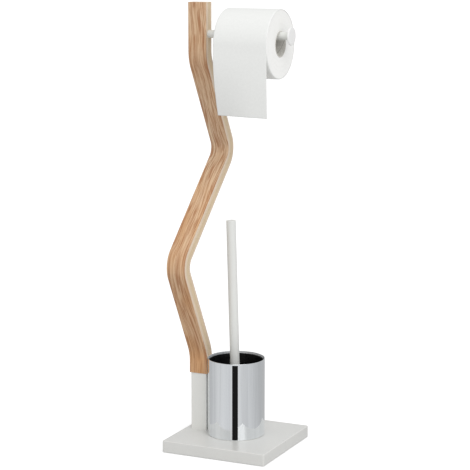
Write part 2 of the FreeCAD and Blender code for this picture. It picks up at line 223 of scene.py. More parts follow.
def grain(tree, vector, along, move, scale, detail=2.0, roughness=0.5, distortion=0.0):
    """Noise drawn out along Z, from its own place in the pattern."""
    line = stretched(tree, vector, (1.0, 1.0, along), move)
    return noisy(tree, line, scale, detail, roughness, distortion)


def remapped(tree, value, low, high, to_low=0.0, to_high=1.0):
    values = {"Value": value, "From Min": low, "From Max": high,
              "To Min": to_low, "To Max": to_high}
    return put(tree, "ShaderNodeMapRange", values, clamp=True).outputs["Result"]


def group(name, inputs, outputs, fill):
    """A shader node group, built once.

    An input's default is a number, a colour as four numbers, or None for a vector.
    """
    tree = bpy.data.node_groups.get(name)
    if tree:
        return tree
    tree = bpy.data.node_groups.new(name, "ShaderNodeTree")
    for label, default in inputs.items():
        kind = VECTOR if default is None else COLOR if default is WHITE else FLOAT
        socket = tree.interface.new_socket(label, in_out="INPUT", socket_type=kind)
        if default is not None:
            socket.default_value = default
    for label in outputs:
        tree.interface.new_socket(label, in_out="OUTPUT",
                                  socket_type=OUTPUT_KINDS.get(label, FLOAT))
    source = tree.nodes.new("NodeGroupInput")
    target = tree.nodes.new("NodeGroupOutput")
    for label, socket in fill(tree, source.outputs).items():
        tree.links.new(socket, target.inputs[label])
    return tree


def use(tree, made_group, inputs):
    """Place a node group in a tree. Returns its outputs."""
    return put(tree, "ShaderNodeGroup", inputs, node_tree=made_group).outputs


def tone_drift():
    """A slow change of tone over a surface, so that no coat is one flat colour."""
    def fill(tree, given):
        slow = noisy(tree, given["Vector"], given["Scale"], 3.0, 0.55)
        low = calc(tree, "SUBTRACT", 1.0, given["Amount"])
        return {"Color": shaded(tree, given["Color"], remapped(tree, slow, 0.3, 0.7, low))}
    return group("tone_drift", {"Vector": None, "Color": WHITE, "Scale": 20.0, "Amount": 0.04},
                 ["Color"], fill)


def fine_skin():
    """Height and gloss of a smooth coat: a slow ripple with a fine speckle on it."""
    def fill(tree, given):
        ripple = noisy(tree, given["Vector"], given["Ripple"])
        speck = noisy(tree, given["Vector"], given["Speckle"], 1.0)
        spread = times(tree, calc(tree, "SUBTRACT", ripple, 0.5), given["Gloss spread"])
        return {"Height": added(tree, ripple, times(tree, speck, given["Speckle share"])),
                "Roughness": added(tree, given["Gloss"], spread)}
    return group("fine_skin", {"Vector": None, "Ripple": 120.0, "Speckle": 1500.0,
                               "Speckle share": 0.2, "Gloss": 0.4, "Gloss spread": 0.1},
                 ["Height", "Roughness"], fill)


def around_axis():
    """Coordinates of a turned piece: along its X axis, round it, and out from it."""
    def fill(tree, given):
        local = put(tree, "ShaderNodeVectorMath", {0: given["Vector"], 1: given["Centre"]},
                    operation="SUBTRACT").outputs[0]
        parts = split(tree, local)
        arc = times(tree, calc(tree, "ARCTAN2", parts["Y"], parts["Z"]), given["Radius"])
        out = reach_of(tree, parts["Y"], parts["Z"])
        placed = put(tree, "ShaderNodeCombineXYZ", {0: parts["X"], 1: arc, 2: out})
        return {"Vector": placed.outputs[0]}
    return group("around_axis", {"Vector": None, "Centre": None, "Radius": 0.05},
                 ["Vector"], fill)


def wood_figure():
    """Long wood grain along Z: swaying broad bands, sharp late-wood strokes and open pores, with
    painted shade that darkens the low end of Z towards the middle tone.
    """
    def fill(tree, given):
        here, dark, contrast = given["Vector"], given["Dark"], given["Contrast"]
        bent = noisy(tree, stretched(tree, here, (0.35, 0.35, 0.20)), 42.0)
        sway = times(tree, calc(tree, "SUBTRACT", bent, 0.5), given["Sway"])
        shift = put(tree, "ShaderNodeCombineXYZ", {0: sway}).outputs[0]
        line = put(tree, "ShaderNodeVectorMath", {0: here, 1: shift}).outputs[0]
        broad = grain(tree, line, 0.09, (0.0, 0.0, 0.0), given["Bands"], distortion=0.2)
        stroke = grain(tree, line, 0.036, (0.8, 0.3, 0.4), given["Strokes"], 1.5, 0.5, 0.25)
        streak = grain(tree, line, 0.03, (0.3, 0.1, 0.7), 1100.0, 2.0, 0.6)
        pore = grain(tree, line, 0.06, (1.3, 0.5, 0.2), 2600.0, 1.0)
        slow = grain(tree, line, 0.3, (2.1, 0.4, 0.9), 34.0)
        drift = grain(tree, line, 0.06, (0.2, 0.6, 0.5), 55.0)
        faint = grain(tree, line, 0.10, (0.5, 1.1, 0.1), 130.0)
        # Painted shade: low along Z (below 0.42 m, fully by 0.12 m) the tone leans to the middle
        # colour, darkening the post's down-facing lower part
        warmth = added(tree, remapped(tree, slow, 0.35, 0.65, 0.0, 0.5),
                       remapped(tree, split(tree, here)["Z"], 0.12, 0.42, 0.5, 0.0))
        base = mixed(tree, warmth, given["Light"], given["Middle"])
        warm = times(tree, remapped(tree, broad, 0.42, 0.66, 0.0, 0.24), contrast)
        banded = mixed(tree, warm, base, dark)
        rings = calc(tree, "DIVIDE", split(tree, line)["X"], given["Ring gap"])
        ring = calc(tree, "FRACT", added(tree, rings, times(tree, drift, 3.0)))
        growth = times(tree, remapped(tree, ring, 0.62, 0.92),
                       remapped(tree, faint, 0.38, 0.58, 0.15, 0.75))
        strokes = times(tree, remapped(tree, stroke, 0.52, 0.57),
                        remapped(tree, broad, 0.34, 0.52, 0.38, 0.88))
        late = calc(tree, "MAXIMUM", growth, strokes)
        lined = mixed(tree, times(tree, late, contrast), banded, dark)
        fine = times(tree, remapped(tree, streak, 0.52, 0.66), times(tree, contrast, 0.40))
        traced = mixed(tree, fine, lined, dark)
        open_pore = times(tree, remapped(tree, pore, 0.58, 0.72),
                          remapped(tree, broad, 0.40, 0.56))
        return {"Color": mixed(tree, times(tree, open_pore, given["Pores"]), traced, dark),
                "Height": calc(tree, "SUBTRACT", times(tree, streak, 0.35), open_pore),
                "Roughness": remapped(tree, streak, 0.3, 0.7, 0.42, 0.58)}
    return group("wood_figure", {"Vector": None, "Light": WHITE, "Middle": WHITE, "Dark": WHITE,
                                 "Sway": 0.03, "Contrast": 0.8, "Pores": 0.6, "Bands": 150.0,
                                 "Strokes": 430.0, "Ring gap": 0.0075},
                 ["Color", "Height", "Roughness"], fill)


def tissue_pile():
    """Soft tissue: crepe across the web, a dotted emboss and cloudy fibres."""
    def fill(tree, given):
        here = given["Vector"]
        crepe = noisy(tree, stretched(tree, here, (0.35, 1.0, 1.0)), 1700.0, 2.0, 0.6)
        cloud = noisy(tree, here, 260.0, 3.0, 0.6)
        dot = remapped(tree, cells(tree, here, 210.0, 0.25), 0.10, 0.32)
        height = added(tree, times(tree, crepe, 0.35), times(tree, dot, given["Emboss"]))
        shade = remapped(tree, cloud, 0.3, 0.7, 0.965)
        return {"Color": shaded(tree, given["Color"], shade), "Height": height}
    return group("tissue_pile", {"Vector": None, "Color": WHITE, "Emboss": 0.5},
                 ["Color", "Height"], fill)


# --- Materials -----------------------------------------------------------------------

def new_material(name, **shader_values):
    """A material with a Principled shader. Returns (material, tree, shader)."""
    material = bpy.data.materials.new(name)
    material.use_nodes = True
    tree = material.node_tree
    shader = tree.nodes["Principled BSDF"]
    for key, value in shader_values.items():
        shader.inputs[key.replace("_", " ")].default_value = value
    return material, tree, shader


def linked(tree, shader, **sockets):
    for key, socket in sockets.items():
        tree.links.new(socket, shader.inputs[key.replace("_", " ")])


def bumped(tree, height, strength, distance):
    values = {"Height": height, "Strength": strength, "Distance": distance}
    return put(tree, "ShaderNodeBump", values).outputs["Normal"]


def object_vector(tree):
    return put(tree, "ShaderNodeTexCoord").outputs["Object"]


def darker(paint, share):
    return tuple(part * share for part in paint[:3]) + (1.0,)


# Finish: paint, gloss, gloss spread, ripple scale, speckle scale, speckle share,
# depth of the skin in metres, drift of the tone, and values of the shader itself
COATS = {
    "white_lacquer": ("board", 0.30, 0.10, 60.0, 1400.0, 0.08, 0.00003, 0.03,
                      {"Coat_Weight": 0.25, "Coat_Roughness": 0.10,
                       "Specular_IOR_Level": 0.35}),
    "foot_lacquer": ("lacquer", 0.34, 0.10, 60.0, 1400.0, 0.08, 0.00004, 0.03,
                     {"Coat_Weight": 0.25, "Coat_Roughness": 0.12}),
    "white_powder_coat": ("coat", 0.36, 0.12, 900.0, 2600.0, 0.4, 0.00005, 0.03, {}),
    # Painted light: the same powder coat as the arm, painted brighter for the light on the disc's
    # side-facing face
    "white_disc_coat": ("disc", 0.36, 0.12, 900.0, 2600.0, 0.4, 0.00005, 0.03, {}),
    "white_handle": ("handle", 0.40, 0.06, 60.0, 2200.0, 0.10, 0.00001, 0.02,
                     {"Specular_IOR_Level": 0.35}),
    "natural_plastic": ("handle", 0.5, 0.1, 200.0, 1500.0, 0.3, 0.00005, 0.04, {}),
    "black_liner": ("black", 0.30, 0.16, 240.0, 3000.0, 0.25, 0.00006, 0.25, {}),
    "black_trim": ("trim", 0.24, 0.10, 420.0, 3200.0, 0.3, 0.00004, 0.2,
                   {"Specular_IOR_Level": 0.16}),
    "black_head": ("black", 0.46, 0.12, 300.0, 2600.0, 0.5, 0.00008, 0.3, {}),
}


def coat_material(name):
    """A coat or plastic whose tone drifts and whose skin ripples."""
    paint, gloss, spread, ripple, speckle, share, depth, drift, values = COATS[name]
    material, tree, shader = new_material(name, **values)
    here = object_vector(tree)
    tone = use(tree, tone_drift(), {"Vector": here, "Color": tint(paint), "Scale": 14.0,
                                    "Amount": drift})
    skin = use(tree, fine_skin(), {"Vector": here, "Ripple": ripple, "Speckle": speckle,
                                   "Speckle share": share, "Gloss": gloss,
                                   "Gloss spread": spread})
    linked(tree, shader, Base_Color=tone["Color"], Roughness=skin["Roughness"],
           Normal=bumped(tree, skin["Height"], 0.35, depth))
    return material


def foam(name, paint):
    """Closed-cell foam with small open cells at its cut faces."""
    material, tree, shader = new_material(name, Specular_IOR_Level=0.2)
    here = object_vector(tree)
    cell = cells(tree, here, 1900.0)
    tone = use(tree, tone_drift(), {"Vector": here, "Color": paint, "Scale": 60.0,
                                    "Amount": 0.12})
    shade = mixed(tree, remapped(tree, cell, 0.0, 0.5, 0.45, 0.0), tone["Color"],
                  darker(paint, 0.3))
    linked(tree, shader, Base_Color=shade, Roughness=remapped(tree, cell, 0.0, 0.6, 0.95, 0.8),
           Normal=bumped(tree, cell, 0.7, 0.0003))
    return material


# Bare metal: paint, gloss, scale of its marks, their depth in metres, drift of the tone
METALS = {
    "plain_steel": ("zinc", 0.32, (0.05, 1.0, 1.0), 0.00002, 0.1),
    "zinc_steel": ("zinc", 0.34, (1.0, 1.0, 1.0), 0.00003, 0.2),
    "brass_insert": ("brass", 0.24, (0.05, 1.0, 1.0), 0.00002, 0.1),
}


def metal_material(name):
    """Bare metal with fine directional marks and a slightly uneven gloss."""
    paint, gloss, mark_scale, mark_depth, drift = METALS[name]
    material, tree, shader = new_material(name, Metallic=1.0)
    here = object_vector(tree)
    marks = noisy(tree, stretched(tree, here, mark_scale), 900.0, 3.0, 0.6)
    smudge = noisy(tree, here, 28.0, 4.0, 0.6)
    tone = use(tree, tone_drift(), {"Vector": here, "Color": tint(paint), "Scale": 22.0,
                                    "Amount": drift})
    rough = added(tree, remapped(tree, smudge, 0.35, 0.75, gloss, gloss * 1.7),
                  remapped(tree, marks, 0.55, 0.8, 0.0, gloss * 0.5))
    linked(tree, shader, Base_Color=tone["Color"], Roughness=rough,
           Normal=bumped(tree, marks, 0.25, mark_depth))
    return material


def polished_steel(radius, wall):
    """Polished outside with a duller inside; darker upright bands painted into its colour stand in
    for mirrored studio bands, with faint upright lines that are partly real drawing marks and
    partly painted reflection.
    """
    material, tree, shader = new_material("polished_steel", Metallic=1.0)
    here = object_vector(tree)
    upright = stretched(tree, here, (1.0, 1.0, 0.012))
    painted_reflection_band = noisy(tree, upright, 46.0, 3.0, 0.6)
    line = noisy(tree, upright, 620.0, 2.0, 0.6)
    smudge = noisy(tree, here, 28.0, 4.0, 0.6)
    # Painted reflection: broad darker upright bands, and fine lines that are partly real drawing
    # marks, darken the steel's colour in place of mirrored studio bands
    dark = added(tree, remapped(tree, painted_reflection_band, 0.36, 0.60, 0.0, 0.5),
                 remapped(tree, line, 0.56, 0.72, 0.0, 0.35))
    parts = split(tree, here)
    inside = calc(tree, "LESS_THAN", reach_of(tree, parts["X"], parts["Y"]), radius - wall / 2)
    gloss = remapped(tree, smudge, 0.35, 0.75, 0.06, 0.13)
    linked(tree, shader, Base_Color=mixed(tree, dark, tint("steel"), tint("steel_lines_and_painted_reflection")),
           Roughness=added(tree, gloss, times(tree, inside, 0.5)),
           Normal=bumped(tree, line, 0.2, 0.000003))
    return material


def wood_material(name, light, middle, dark, vector_from, turn=(0, 0, 0), **figure_values):
    """Wood whose grain runs along Z of the coordinates that it is given."""
    material, tree, shader = new_material(name, Specular_IOR_Level=0.35)
    here = stretched(tree, vector_from(tree), (1.0, 1.0, 1.0), turn)
    figure = use(tree, wood_figure(), {"Vector": here, "Light": light, "Middle": middle,
                                       "Dark": dark, **figure_values})
    linked(tree, shader, Base_Color=figure["Color"], Roughness=figure["Roughness"],
           Normal=bumped(tree, figure["Height"], 0.5, 0.00012))
    return material


def straight_vector(tree):
    """The post's own coordinates, as if it had never been bent."""
    return put(tree, "ShaderNodeAttribute", attribute_name="straight").outputs["Vector"]


def veneer_oak():
    return wood_material("oak_veneer", tint("veneer_light"), tint("veneer_mid"),
                         tint("veneer_dark"), straight_vector, Contrast=0.82, Pores=0.5,
                         Sway=0.020, Bands=190.0, Strokes=640.0)


# How yellow each ply of the core is, from the front to the back
PLY_WARMTH = (0.0, 0.1, 0.4, 0.6, 1.0, 1.0, 1.0, 0.8, 0.2)


def ply_wood(number):
    warmth = PLY_WARMTH[(number - 1) % len(PLY_WARMTH)]
    light = tuple(a + (b - a) * warmth for a, b in zip(tint("ply_light"), tint("ply_warm")))
    turn = (0.02 * number, 0.013 * number, 0.11 * number)
    return wood_material(f"laminated_core_{number}", light, darker(light, 0.90),
                         darker(light, 0.62), straight_vector, turn, Contrast=0.28,
                         Pores=0.35, Sway=0.01, Bands=420.0, Strokes=700.0)


def beech():
    light = tint("beech")
    return wood_material("beech_dowel", light, light, darker(light, 0.6), object_vector,
                         Contrast=0.4, Pores=0.3, Sway=0.002, Bands=420.0, Strokes=900.0)


# Width of the band of painted light on each cut end of the roll
PAINTED_LIGHT_END = 0.0007


def paper_material(name, place_and_paint):
    """Soft tissue, from a function that gives its coordinates and its paint."""
    material, tree, shader = new_material(name, Roughness=0.92, Specular_IOR_Level=0.2)
    place, paint = place_and_paint(tree)
    pile = use(tree, tissue_pile(), {"Vector": place, "Color": paint, "Emboss": 0.35})
    linked(tree, shader, Base_Color=pile["Color"],
           Normal=bumped(tree, pile["Height"], 0.35, 0.00010))
    return material


def round_vector(tree, centre, radius):
    """Coordinates round an axis along X."""
    return use(tree, around_axis(), {"Vector": object_vector(tree), "Centre": tuple(centre),
                                     "Radius": radius})["Vector"]


def tissue(centre, radius, width):
    """Tissue of a roll that turns about an axis along X, with painted light that makes its cut
    ends paler.
    """
    def place_and_paint(tree):
        place = round_vector(tree, centre, radius)
        from_middle = calc(tree, "ABSOLUTE", split(tree, place)["X"])
        # Painted light: a paler band on each cut end stands in for the light that falls on it from
        # the side
        cut = calc(tree, "GREATER_THAN", from_middle, width / 2 - PAINTED_LIGHT_END)
        return place, mixed(tree, cut, tint("tissue"), tint("tissue_painted_light"))
    return paper_material("tissue", place_and_paint)


def sheet_tissue():
    """Tissue of the hanging end, laid out flat by its UV map."""
    def place_and_paint(tree):
        return put(tree, "ShaderNodeTexCoord").outputs["UV"], tint("tissue")
    return paper_material("tissue_sheet", place_and_paint)


SPIRAL_PITCH = 0.055


def cardboard(centre, radius):
    """Grey board wound in a spiral, with its joint line and short fibres."""
    material, tree, shader = new_material("core_board", Specular_IOR_Level=0.2)
    place = round_vector(tree, centre, radius)
    parts = split(tree, place)
    turn = calc(tree, "DIVIDE", parts["Y"], 2 * math.pi * radius)
    pitch = calc(tree, "DIVIDE", parts["X"], SPIRAL_PITCH)
    joint = calc(tree, "LESS_THAN", calc(tree, "FRACT", added(tree, pitch, turn)), 0.012)
    fibre = noisy(tree, place, 900.0, 3.0, 0.65)
    shade = mixed(tree, remapped(tree, fibre, 0.35, 0.7, 0.0, 0.35), tint("core_grey"),
                  (0.20, 0.18, 0.15, 1))
    linked(tree, shader,
           Base_Color=mixed(tree, times(tree, joint, 0.6), shade, (0.16, 0.14, 0.12, 1)),
           Roughness=remapped(tree, fibre, 0.3, 0.7, 0.85, 0.97),
           Normal=bumped(tree, calc(tree, "SUBTRACT", fibre, joint), 0.4, 0.00015))
    return material


def bristle_fibre():
    """Dark filaments with a soft uneven gloss."""
    material, tree, shader = new_material("black_bristle", Specular_IOR_Level=0.5)
    strand_noise = grain(tree, object_vector(tree), 0.3, (0.0, 0.0, 0.0), 1400.0, 2.0, 0.6)
    shade = mixed(tree, remapped(tree, strand_noise, 0.35, 0.7), tint("black"),
                  (0.045, 0.045, 0.048, 1))
    linked(tree, shader, Base_Color=shade,
           Roughness=remapped(tree, strand_noise, 0.3, 0.7, 0.3, 0.5))
    return material


# --- Mesh building -------------------------------------------------------------------

SHARP_ANGLE = math.radians(32)


def in_scene(name, data):
    """A new object in the scene."""
    made = bpy.data.objects.new(name, data)
    bpy.context.scene.collection.objects.link(made)
    return made


def add_piece(shape, name, body, slot, material, *stands_for):
    """Turn a finished bmesh into a piece that rides on a body."""
    bmesh.ops.recalc_face_normals(shape, faces=shape.faces)
    return keep_piece(shape, name, body, slot, material, *stands_for)


def keep_piece(shape, name, body, slot, material, *stands_for):
    for face in shape.faces:
        face.smooth = True
    for edge in shape.edges:
        edge.smooth = not (edge.is_manifold and edge.calc_face_angle(0.0) > SHARP_ANGLE)
    mesh = bpy.data.meshes.new(name)
    shape.to_mesh(mesh)
    shape.free()
    piece = in_scene(name, mesh)
    mesh.materials.append(material)
    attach(piece, body)
    if stands_for:
        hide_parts(*stands_for)
    return piece


def even_normals(piece):
    """Keep large flat faces flat beside small roundings."""
    modifier = piece.modifiers.new("even_normals", "WEIGHTED_NORMAL")
    modifier.keep_sharp = True
    modifier.weight = 80
    return piece


def smooth_copy(node, name, body, slot, material):
    """A merged and smoothly shaded copy of a node whose shape is already right."""
    shape = bmesh.new()
    shape.from_mesh(frame["nodes"][node].data)
    bmesh.ops.remove_doubles(shape, verts=shape.verts, dist=2e-6)
    bmesh.ops.dissolve_limit(shape, angle_limit=math.radians(0.2), verts=shape.verts,
                             edges=shape.edges, delimit={"NORMAL"})
    return even_normals(keep_piece(shape, name, body, slot, material, node))


def finish_node(node, material):
    """Give a node that stays its material."""
    mesh = frame["nodes"][node].data
    mesh.materials.clear()
    mesh.materials.append(material)


def turned(outline, steps, place):
    """A solid of revolution about its own Z axis, put in place by a matrix.

    The outline has (radius, height, rounding) points in order, closed on itself. An edge
    whose two ends are on the axis is left out, so that a solid outline closes at its poles.
    """
    shape = bmesh.new()
    points = [shape.verts.new((radius, 0, height)) for radius, height, _ in outline]
    shape.faces.new(points)
    radii = sorted({rounding for _, _, rounding in outline if rounding > 0})
    corners = {radius: [p for p, o in zip(points, outline) if o[2] == radius] for radius in radii}
    for radius, chosen in corners.items():
        bmesh.ops.bevel(shape, geom=chosen, offset=radius * math.tan(math.pi / 4), segments=6,
                        offset_type="OFFSET", profile=0.5, affect="VERTICES", material=-1)
    bmesh.ops.delete(shape, geom=shape.faces[:], context="FACES_ONLY")
    on_axis = [e for e in shape.edges if all(v.co.x < 1e-7 for v in e.verts)]
    bmesh.ops.delete(shape, geom=on_axis, context="EDGES")
    bmesh.ops.spin(shape, geom=shape.verts[:] + shape.edges[:], cent=(0, 0, 0), axis=UP,
                   angle=2 * math.pi, steps=steps, use_merge=True)
    bmesh.ops.remove_doubles(shape, verts=shape.verts, dist=1e-7)
    bmesh.ops.transform(shape, matrix=place, verts=shape.verts)
    return shape


def middle(low, high):
    return (low + high) / 2


def along_x(x, y, z):
    """Place a turned piece with its axis along +X, starting at a point."""
    return Matrix.Translation((x, y, z)) @ Matrix.Rotation(math.pi / 2, 4, "Y")


# --- Post ----------------------------------------------------------------------------

BEND_STEP = math.radians(3)


def post_way():
    """Corners of the post's centreline and the bend radius at each inner one."""
    s = sizes()
    low, high = (corner.z for corner in BOX["post_core"])
    corners = [Vector((0, 0, low)), Vector((0, 0, low + s.lower_knee)),
               Vector((0, -s.front_reach, low + s.front_knee)),
               Vector((0, s.back_reach, low + s.back_knee)),
               Vector((0, 0, low + s.upper_knee)), Vector((0, 0, high))]
    return corners, [s.lower_radius, s.front_radius, s.back_radius, s.upper_radius]


def post_moves():
    """Moves that carry a section up the post, each with the length it adds."""
    corners, radii = post_way()
    ways = [(b - a).normalized() for a, b in zip(corners, corners[1:])]
    here = corners[0]
    moves = []
    for i, radius in enumerate(radii):
        turn = ways[i].angle(ways[i + 1])
        run = radius * math.tan(turn / 2)
        entry = corners[i + 1] - ways[i] * run
        moves.append((Matrix.Translation(entry - here), (entry - here).length))
        axis = ways[i].cross(ways[i + 1]).normalized()
        centre = entry + axis.cross(ways[i]) * radius
        steps = math.ceil(turn / BEND_STEP)
        bend = Matrix.Rotation(turn / steps, 4, axis)
        move = Matrix.Translation(centre) @ bend @ Matrix.Translation(-centre)
        moves += [(move, radius * turn / steps)] * steps
        here = corners[i + 1] + ways[i + 1] * run
    moves.append((Matrix.Translation(corners[-1] - here), (corners[-1] - here).length))
    return moves


def post_layer(front, back, corners, rounding):
    """One layer of the post, swept up its bends, with its unbent coordinates kept.

    The corners to round count from the left front one, towards the right.
    """
    low, high = BOX["post_core"]
    shape = bmesh.new()
    straight = shape.verts.layers.float_vector.new("straight")
    section = [(low.x, front), (high.x, front), (high.x, back), (low.x, back)]
    points = [shape.verts.new((x, y, low.z)) for x, y in section]
    shape.faces.new(points)
    bmesh.ops.bevel(shape, geom=[points[i] for i in corners], offset=rounding, segments=4,
                    offset_type="OFFSET", profile=0.5, affect="VERTICES", material=-1)
    for vert in shape.verts:
        vert[straight] = (vert.co.x, vert.co.y, 0)
    faces = shape.faces[:]
    inner = []
    gone = Matrix.Identity(4)
    run = 0.0
    for step, (move, length) in enumerate(post_moves()):
        if step:
            inner += faces
        out = bmesh.ops.extrude_face_region(shape, geom=faces)["geom"]
        faces = [g for g in out if isinstance(g, bmesh.types.BMFace)]
        verts = [g for g in out if isinstance(g, bmesh.types.BMVert)]
        back_to_start = gone.inverted()
        run += length
        for vert in verts:
            at_start = back_to_start @ vert.co
            vert[straight] = (at_start.x, at_start.y, run)
        bmesh.ops.transform(shape, matrix=move, verts=verts)
        gone = move @ gone
    bmesh.ops.delete(shape, geom=inner, context="FACES_ONLY")
    return shape


def build_post():
    s = sizes()
    half = (BOX["post_foot"][1].y - BOX["post_foot"][0].y) / 2 + s.veneer
    oak = veneer_oak()
    front = post_layer(-half, s.veneer - half, (0, 1), s.veneer_round)
    add_piece(front, "front_veneer", "stand", "oak_veneer", oak, "post_front_veneer")
    back = post_layer(half - s.veneer, half, (2, 3), s.veneer_round)
    add_piece(back, "back_veneer", "stand", "oak_veneer", oak, "post_back_veneer")
    core = half - s.veneer
    thick = 2 * core / s.ply_count
    for i in range(s.ply_count):
        low = -core + i * thick
        ply = post_layer(low, low + thick, (0, 1, 2, 3), s.glue_line)
        add_piece(ply, f"ply_{i + 1}", "stand", "laminated_core", ply_wood(i + 1), "post_core")


# --- Base, foot and arm --------------------------------------------------------------

def build_base():
    smooth_copy("base_board", "board", "stand", "white_lacquer", coat_material("white_lacquer"))
    finish_node("base_pads", foam("grey_foam", tint("foam")))
    finish_node("foot_screws", metal_material("zinc_steel"))


def build_foot():
    smooth_copy("post_foot", "foot_block", "stand", "foot_lacquer", coat_material("foot_lacquer"))
    finish_node("post_dowels", beech())


ARM_WALL = 0.002
ARM_ROUND = 0.0004
DISC_BACK_ROUND = 0.0008
DISC_FACE_ROUND = 0.0011


def build_arm():
    low, high = BOX["arm_rod"]
    centre = middle(low, high)
    radius = (high.z - low.z) / 2
    length = high.x - low.x
    bore = radius - ARM_WALL
    tube = turned([(radius, 0, ARM_ROUND), (radius, length, ARM_ROUND),
                   (bore, length, 0), (bore, 0, 0)], 96, along_x(low.x, centre.y, centre.z))
    add_piece(tube, "roll_arm", "stand", "white_powder_coat",
              coat_material("white_powder_coat"), "arm_rod")
    disc_low, disc_high = BOX["arm_end_disc"]
    disc_r = (disc_high.z - disc_low.z) / 2
    thick = disc_high.x - high.x
    spigot = high.x - disc_low.x
    disc = turned([(0, -spigot, 0), (bore, -spigot, ARM_ROUND), (bore, 0, 0),
                   (disc_r, 0, DISC_BACK_ROUND), (disc_r, thick, DISC_FACE_ROUND),
                   (disc_r * 0.55, thick, 0), (0, thick, 0)],
                  128, along_x(high.x, centre.y, centre.z))
    add_piece(disc, "arm_disc", "stand", "white_powder_coat",
              coat_material("white_disc_coat"), "arm_end_disc")
    finish_node("arm_insert", metal_material("brass_insert"))
    finish_node("arm_stud", metal_material("zinc_steel"))
    finish_node("arm_plug", metal_material("zinc_steel"))


# --- Cup -----------------------------------------------------------------------------

SLEEVE_FOOT_ROUND = 0.0002
SLEEVE_RIM_ROUND = 0.00038
STRIP_ROUND = 0.00012


def build_cup():
    wall = sizes().sleeve_wall
    low, high = BOX["cup_sleeve"]
    radius = (high.x - low.x) / 2
    outline = [(radius, low.z, SLEEVE_FOOT_ROUND), (radius, high.z, SLEEVE_RIM_ROUND),
               (radius - wall, high.z, SLEEVE_RIM_ROUND),
               (radius - wall, low.z, SLEEVE_FOOT_ROUND)]
    sleeve = turned(outline, 256, Matrix.Identity(4))
    add_piece(sleeve, "sleeve", "cup", "polished_steel", polished_steel(radius, wall),
              "cup_sleeve")
    strip = smooth_copy("cup_strip", "trim_strip", "cup", "black_trim",
                        coat_material("black_trim"))
    rounding = strip.modifiers.new("rounding", "BEVEL")
    rounding.width = STRIP_ROUND
    rounding.segments = 3
    rounding.limit_method = "ANGLE"
    rounding.angle_limit = SHARP_ANGLE
    finish_node("cup_floor_plate", metal_material("plain_steel"))
    # Painted light: a pale pad so that the shaded gap under the sleeve looks light
    finish_node("cup_pad", foam("white_foam", tint("pad_painted_light")))


LINER_FOOT_ROUND = 0.005
LINER_RIM_ROUND = 0.0006


def build_liner():
    s = sizes()
    low, high = BOX["cup_liner"]
    radius = (high.x - low.x) / 2
    inner = radius - s.liner_wall
    floor = low.z + s.liner_floor
    outline = [(0, low.z, 0), (radius, low.z, LINER_FOOT_ROUND), (radius, high.z, LINER_RIM_ROUND),
               (inner, high.z, LINER_RIM_ROUND), (inner, floor, LINER_FOOT_ROUND - s.liner_wall),
               (0, floor, 0)]
    liner = turned(outline, 192, Matrix.Identity(4))
    add_piece(liner, "liner", "liner", "black_liner", coat_material("black_liner"), "cup_liner")


# --- Brush ---------------------------------------------------------------------------

def brush_axis():
    return Vector(JOINT["brush_lift"]["axis"]).normalized()


def handle_measures():
    """Centre, radius and length of the handle's tube, from the box it leans in."""
    low, high = BOX["brush_handle"]
    axis = brush_axis()
    radius = (high.y - low.y) / 2
    length = ((high.z - low.z) - 2 * radius * abs(axis.x)) / axis.z
    return middle(low, high), radius, length


def on_brush(distance):
    """Place a turned piece on the brush's axis, at a distance from the handle's lower end."""
    centre, _, length = handle_measures()
    axis = brush_axis()
    lean = math.atan2(axis.x, axis.z)
    point = centre + axis * (distance - length / 2)
    return Matrix.Translation(point) @ Matrix.Rotation(lean, 4, "Y")


HANDLE_WALL = 0.0012
HANDLE_ROUND = 0.0003
CAP_THICK = 0.002
CAP_SPIGOT = 0.008
CAP_ROUND = 0.0004
COLLAR_SLOPE = 0.002           # height of the slopes at the collar's two ends
CORE_FOOT_ROUND = 0.002
CORE_ROUND = 0.001
LINK_BORE = 0.004
LINK_DEPTH = 0.017


def build_brush():
    s = sizes()
    _, radius, length = handle_measures()
    bore = radius - HANDLE_WALL
    white = coat_material("white_handle")
    tube = turned([(radius, 0, HANDLE_ROUND), (radius, length, 0), (bore, length, 0),
                   (bore, 0, 0)], 96, on_brush(0))
    add_piece(tube, "handle_tube", "brush", "white_handle", white, "brush_handle")
    top = turned([(0, -CAP_SPIGOT, 0), (bore, -CAP_SPIGOT, 0), (bore, 0, 0), (radius, 0, 0),
                  (radius, CAP_THICK, CAP_ROUND), (0, CAP_THICK, 0)], 96, on_brush(length))
    add_piece(top, "handle_end", "brush", "white_handle", white, "brush_handle_cap")
    neck = s.collar_height - COLLAR_SLOPE
    under = -(s.collar_height + s.bristle_height - s.bristle_under)
    core = turned([(0, under, 0), (s.head_radius, under, CORE_FOOT_ROUND),
                   (s.head_radius, -neck, CORE_ROUND),
                   (s.collar_radius, COLLAR_SLOPE - neck, CORE_ROUND),
                   (s.collar_radius, -COLLAR_SLOPE, CORE_ROUND), (radius, 0, 0),
                   (LINK_BORE, 0, 0), (LINK_BORE, -LINK_DEPTH, 0), (0, -LINK_DEPTH, 0)],
                  96, on_brush(0))
    add_piece(core, "head_core", "brush", "black_head", coat_material("black_head"),
              "brush_head_core")
    finish_node("brush_link", metal_material("zinc_steel"))
    finish_node("brush_handle_plug", coat_material("natural_plastic"))


TUFT_RINGS = 13
TUFTS_ROUND = 24
STRANDS = 7
STRAND_THICK = 0.00034
LOWEST_RING = 0.003            # above the core's lower end
RINGS_SHORT = 0.008            # the rings' run is shorter than the core by this much
TIP_CLEAR = 0.0012
ROOT_DEEP = 0.0006
ROOT_SPREAD = 0.0006
TIP_SPREAD = 0.0026
UNDER_RINGS = ((0.0015, 4), (0.0050, 12), (0.0088, 20))   # radius and tufts of each
UNDER_SPREAD = (0.0005, 0.002)                            # at the roots and at the tips
UNDER_FAN = 2.1


